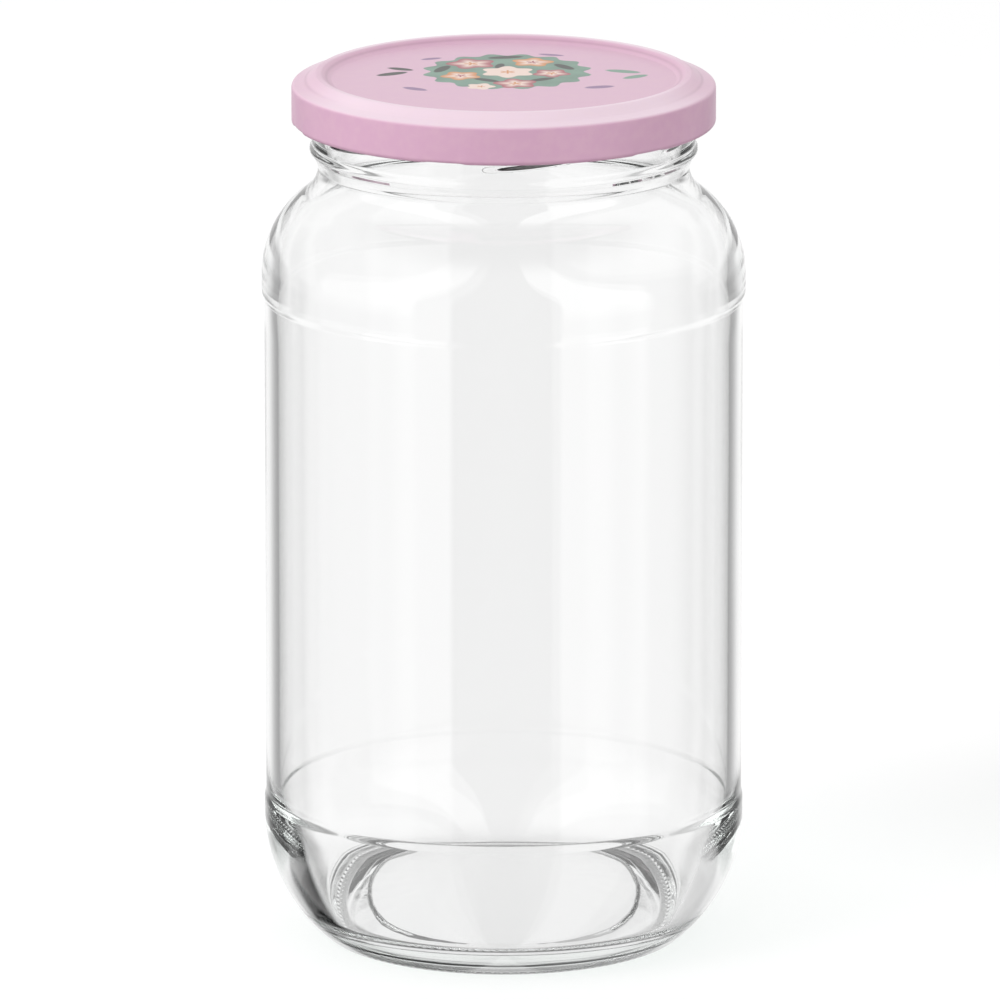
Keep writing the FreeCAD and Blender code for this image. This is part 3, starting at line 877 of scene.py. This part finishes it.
def lacquer_colour(graph, lid, place, mottle, foot):
    """Pink lacquer with light and shade painted in: a shaded pink on the skirt and a lit pink over
    the crown, a painted highlight on the crest and ring that is palest in front and behind, thin
    lines of painted shade beside them, and painted shade on the foot."""
    x, y, z = place
    radius = (x * x + y * y).root()
    crown = foot + lid.crown_at
    # painted highlight on the crest and ring, palest in front and behind
    facing = abs(y / radius).rise(0.1, 0.7)
    painted_shine_mask = radius.rise(lid.painted_shine_in, lid.painted_shine_full) * z.rise(crown - 0.5 * MM, crown)
    painted_shine_mask = painted_shine_mask * (facing * 0.85 + 0.15)
    # painted light: above the crown the lacquer takes its lit copy
    raised = z.rise(crown - 0.7 * MM, crown - 0.2 * MM)
    colour = graph.mix(raised, tuple(lid.lacquer), tuple(lid.top))
    colour = graph.mix(painted_shine_mask, colour, tuple(lid.painted_shine))
    # painted shade: thin darker lines in the groove, and along the ring at the sides
    half, edge = 0.2 * MM, 0.35 * MM
    groove = radius.band(lid.groove_shade_line - half, lid.groove_shade_line + half, edge) * 0.35
    ring = radius.band(lid.ring_shade_line - half, lid.ring_shade_line + half, edge) * (1 - facing) * 0.3
    colour = graph.mix((groove + ring) * raised, colour, tuple(lid.curl))
    # painted shade along the skirt's foot
    colour = graph.mix(z.rise(foot + 1 * MM, foot + 0.3 * MM) * 0.6, colour, tuple(lid.curl))
    return graph.mix(mottle.rise(0.35, 0.7) * 0.06, colour, tuple(lid.cream))


def print_colour(graph, lid, place, lacquer):
    """The printed posy over the lacquer: a scalloped sage medallion, leaves, and blossoms that
    are paler inside and have a heart. The outlines are slightly ragged."""
    x, y, z = place
    edge = 0.16 * MM
    ragged = (graph.noise(900, 3) - 0.5) * 0.5 * MM
    cx, cy, size, scallops = MEDALLION
    ground = petals(graph, x, y, (cx * MM, cy * MM), size * MM, scallops, 0.2, 0.05) + ragged
    shaded = graph.mix(graph.noise(160, 3).rise(0.3, 0.7), tuple(lid.sage),
                       tuple(0.78 * part for part in lid.sage))
    paint = graph.mix(ground.rise(-edge, edge), lacquer, shaded)
    for across, back, long, wide, turn, name in LEAVES:
        inside = oval(x, y, (across * MM, back * MM), long * MM, wide * MM, turn) + ragged * 0.4
        paint = graph.mix(inside.rise(-edge, edge), paint, tuple(getattr(lid, name)))
    for across, back, size, count, turn, name in BLOSSOMS:
        inside = petals(graph, x, y, (across * MM, back * MM), size * MM, count, turn)
        inside = inside + ragged * 0.3
        outer = tuple(getattr(lid, name))
        pale = graph.mix(inside.rise(0, size * 0.7 * MM), outer, tuple(lid.cream))
        heart = inside.rise(size * 0.66 * MM, size * 0.74 * MM)
        heart_colour = tuple(lid.apricot if name != "apricot" else lid.rose)
        bloom = graph.mix(heart, pale, heart_colour)
        paint = graph.mix(inside.rise(-edge, edge), paint, bloom)
    return paint


def lid_material(lid, foot):
    """Pink satin lacquer over steel, with light and shade painted into its colour, and a posy
    printed on the panel.
    """
    material, graph = new_material("lacquered_steel", LACQUER_SLOT)
    place = graph.position()
    x, y, z = place
    mottle = graph.noise(420, 4)
    radius = (x * x + y * y).root()
    lacquer = lacquer_colour(graph, lid, place, mottle, foot)
    printed = print_colour(graph, lid, place, lacquer)
    on_panel = radius.rise(lid.print_radius + 0.4 * MM, lid.print_radius)
    on_panel = on_panel * z.rise(foot + 7 * MM, foot + 7.5 * MM)
    finished = graph.mix(on_panel, lacquer, printed)
    bump = graph.node("ShaderNodeBump", None,
                      {"Strength": 0.25, "Distance": 0.05 * MM, "Height": mottle})
    surface = graph.node("ShaderNodeBsdfPrincipled", None, {
        "Base Color": finished,
        "Metallic": 0.0,
        "Roughness": 0.4,
        "Coat Weight": 0.15,
        "Coat Roughness": 0.25,
        "Normal": bump.outputs[0],
    })
    graph.node("ShaderNodeOutputMaterial", None, {"Surface": surface.outputs[0]})
    return material


def inside_material(lid):
    """The lid's inside: a coating painted dull dark grey-brown, which is partly painted shade
    under the lid, mottled darker.
    """
    material, graph = new_material("lid_varnish", LACQUER_SLOT)
    paint = graph.mix(graph.noise(300, 3), tuple(lid.varnish), tuple(0.7 * c for c in lid.varnish))
    surface = graph.node("ShaderNodeBsdfPrincipled", None, {"Base Color": paint, "Roughness": 0.5})
    graph.node("ShaderNodeOutputMaterial", None, {"Surface": surface.outputs[0]})
    return material


def mark_inside(piece, lid, low, high):
    """Give the second material to the lid's inside: the faces over the curl that look down, and
    those under the crown that look towards the axis."""
    faces = piece.data.polygons

    def read(attribute):
        values = np.zeros(len(faces) * 3)
        faces.foreach_get(attribute, values)
        return values.reshape(-1, 3)

    normals, centres = read("normal"), read("center")
    inward = (normals[:, :2] * centres[:, :2]).sum(1) < 0
    under = (inward & (centres[:, 2] < high - lid.crown_drop)) | (normals[:, 2] < -0.5)
    over_curl = centres[:, 2] > low + 1.4 * lid.curl_round
    faces.foreach_set("material_index", (under & over_curl).astype(np.int32))


class JAR_OT_lid(bpy.types.Operator):
    """Build the twist-off lid, with its curl and lugs, and lacquer it"""

    bl_idname = "jar.lid"
    bl_label = "Twist-off Lid"

    def execute(self, context):
        lid = Shared.lid()
        low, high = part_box(LID_NODE)
        outer = (high.x - low.x) / 2
        rows = lid_profile(lid, outer, high.z, low.z)
        piece = revolve("jar_lid", rows, LID_SEGMENTS, lugs(lid, outer, low.z))
        piece.data.materials.append(lid_material(lid, low.z))
        piece.data.materials.append(inside_material(lid))
        mark_inside(piece, lid, low.z, high.z)
        finish_piece(piece, LID_NODE, LACQUER_SLOT)
        return {"FINISHED"}


# ---------------------------------------------------------------- the stage


# A room's gaps: from, to, soft edge on either side (degrees) and darkness, which is negative
# for a brighter screen. Directions are to both sides of +Y for the gaps behind and under
# them, and from -Y towards +X for the gaps and the high screens before.
GAPS_BEHIND = ((32, 44, 16, 14, 0.62), (62, 66, 5, 16, 0.5), (116, 120, 12, 8, 0.2))
GAPS_UNDER = ((18, 38, 6, 8, 0.64),)
GAPS_BEFORE = ((-24, 27, 2, 2, 0.65), (-43, -24, 2, 2, 0.22), (76, 104, 3, 8, 0.45))
SCREENS_BEFORE = ((-98, -45, 4, 2, -0.6), (29, 74, 2, 4, -0.6))


def surround(graph, across, back, up):
    """What glass and gloss see in a direction: a white room with soft dark gaps between its
    screens, and a darker gap on the side that the jar is seen from."""
    behind = abs(across.angle(back))
    before = across.angle(-back) * (up.rise(0.1, 0.8) * 1.5 + 1)
    level_way = up.band(-0.38, -0.11, 0.04)
    steep_way = up.rise(-0.38, -0.46) * (1 - 1.2 * across)
    level = 0.98
    for ways, share, gaps in (
        (behind, level_way, GAPS_BEHIND),
        (behind, steep_way, GAPS_UNDER),
        (before, 1, GAPS_BEFORE),
        (before, up.rise(-0.25, -0.05), SCREENS_BEFORE),
    ):
        degrees = ways * (180 / math.pi)
        for start, end, soft_start, soft_end, dark in gaps:
            gap = degrees.rise(start - soft_start, start) * degrees.rise(end + soft_end, end)
            level = level * (1 - gap * share * dark)
    return level


class JAR_OT_stage(bpy.types.Operator):
    """Set up the camera, the pale floor, the white room and the soft lamp"""

    bl_idname = "jar.stage"
    bl_label = "Camera, Floor and Light"

    def execute(self, context):
        stage = Shared.stage()
        scene = bpy.context.scene
        scene.view_settings.view_transform = "Standard"
        # thick glass needs light to be followed past more surfaces than the usual few
        for kind in ("max", "glossy", "transmission"):
            setattr(scene.cycles, f"{kind}_bounces", stage.bounces)
        self.camera(stage)
        self.floor(stage)
        self.room(stage)
        self.lamp(stage)
        return {"FINISHED"}

    def camera(self, stage):
        """Look slightly down at the jar, which faces -Y, through a long lens."""
        data = bpy.data.cameras.new("camera")
        data.lens = stage.focal_length
        data.sensor_width = 36
        data.shift_x = stage.shift_across
        data.shift_y = stage.shift_up
        data.clip_start = 0.05
        data.clip_end = 50
        camera = bpy.data.objects.new("camera", data)
        aim = Vector((0, 0, stage.camera_aim))
        away = Vector((0, -math.cos(stage.camera_rise), math.sin(stage.camera_rise)))
        camera.location = aim + away * stage.camera_distance
        camera.rotation_euler = (-away).to_track_quat("-Z", "Y").to_euler()
        bpy.context.scene.collection.objects.link(camera)
        bpy.context.scene.camera = camera

    def floor(self, stage):
        """Lay a white floor. Rays that gloss or glass sends on pass through it, to the room
        under it, a little darker near the jar and much darker at the ring that it stands on."""
        half = stage.floor_size / 2
        mesh = bpy.data.meshes.new("floor")
        corners = [(-half, -half, 0), (half, -half, 0), (half, half, 0), (-half, half, 0)]
        mesh.from_pydata(corners, [], [(0, 1, 2, 3)])
        floor = bpy.data.objects.new("floor", mesh)
        bpy.context.scene.collection.objects.link(floor)
        material = bpy.data.materials.new("floor")
        material.use_nodes = True
        graph = Graph(material.node_tree)
        x, y, z = graph.position()
        away = (x * x + y * y).root()
        touching = away.band(stage.ring_in, stage.ring_out, 0.4 * MM)
        open_floor = away.rise(30 * MM, 80 * MM) * stage.floor_shade + (1 - stage.floor_shade)
        level = open_floor * (1 - touching * stage.ring_shade)
        matte = graph.node("ShaderNodeBsdfDiffuse", None, {"Color": (1, 1, 1)})
        grey = graph.node("ShaderNodeCombineColor", None, {0: level, 1: level, 2: level})
        seen = graph.node("ShaderNodeBsdfTransparent", None, {"Color": grey.outputs[0]})
        _, sent = seen_and_sent(graph)
        both = graph.blend(sent, matte.outputs[0], seen.outputs[0])
        graph.node("ShaderNodeOutputMaterial", None, {"Surface": both})
        mesh.materials.append(material)

    def room(self, stage):
        """Light the scene evenly from all round, behind a plain white background."""
        world = bpy.data.worlds.new("room")
        bpy.context.scene.world = world
        world.use_nodes = True
        graph = Graph(world.node_tree)
        x, y, z = graph.position("Generated")
        camera, sent = seen_and_sent(graph)
        level = surround(graph, x, y, z) * z.rise(0.95, 0.6)
        soft = stage.sky * (1 - stage.sky_lean * x)
        strength = camera + (1 - camera) * (sent * level + (1 - sent) * soft)
        light = graph.node("ShaderNodeBackground", None,
                           {"Color": (1, 1, 1), "Strength": strength})
        graph.node("ShaderNodeOutputWorld", None, {"Surface": light.outputs[0]})

    def lamp(self, stage):
        """Hang a large soft lamp in front, on the left, that gloss and glass don't see."""
        data = bpy.data.lights.new("key", "AREA")
        data.shape = "DISK"
        data.size = stage.key_size
        data.energy = stage.key
        lamp = bpy.data.objects.new("key", data)
        lamp.location = (-1.3, -1.1, 1.7)
        lamp.rotation_euler = (-Vector(lamp.location)).to_track_quat("-Z", "Y").to_euler()
        lamp.visible_glossy = False
        lamp.visible_transmission = False
        bpy.context.scene.collection.objects.link(lamp)


# ---------------------------------------------------------------- the add-on


class JAR_PT_panel(bpy.types.Panel):
    """The jar's builders, in the sidebar"""

    bl_label = "Preserving Jar"
    bl_idname = "JAR_PT_panel"
    bl_space_type = "VIEW_3D"
    bl_region_type = "UI"
    bl_category = "Jar"

    def draw(self, context):
        for operator in OPERATORS:
            self.layout.operator(operator.bl_idname)


GROUPS = {"jar_glass": JarGlassSettings, "jar_lid": JarLidSettings, "jar_stage": JarStageSettings}
OPERATORS = (JAR_OT_glass, JAR_OT_lid, JAR_OT_stage)


def register():
    for name, group in GROUPS.items():
        bpy.utils.register_class(group)
        setattr(bpy.types.Scene, name, bpy.props.PointerProperty(type=group))
    for operator in OPERATORS:
        bpy.utils.register_class(operator)
    bpy.utils.register_class(JAR_PT_panel)


def unregister():
    bpy.utils.unregister_class(JAR_PT_panel)
    for operator in reversed(OPERATORS):
        bpy.utils.unregister_class(operator)
    for name, group in reversed(GROUPS.items()):
        delattr(bpy.types.Scene, name)
        bpy.utils.unregister_class(group)


def main():
    register()
    bpy.ops.jar.glass()
    bpy.ops.jar.lid()
    bpy.ops.jar.stage()


if __name__ == "__main__":
    main()
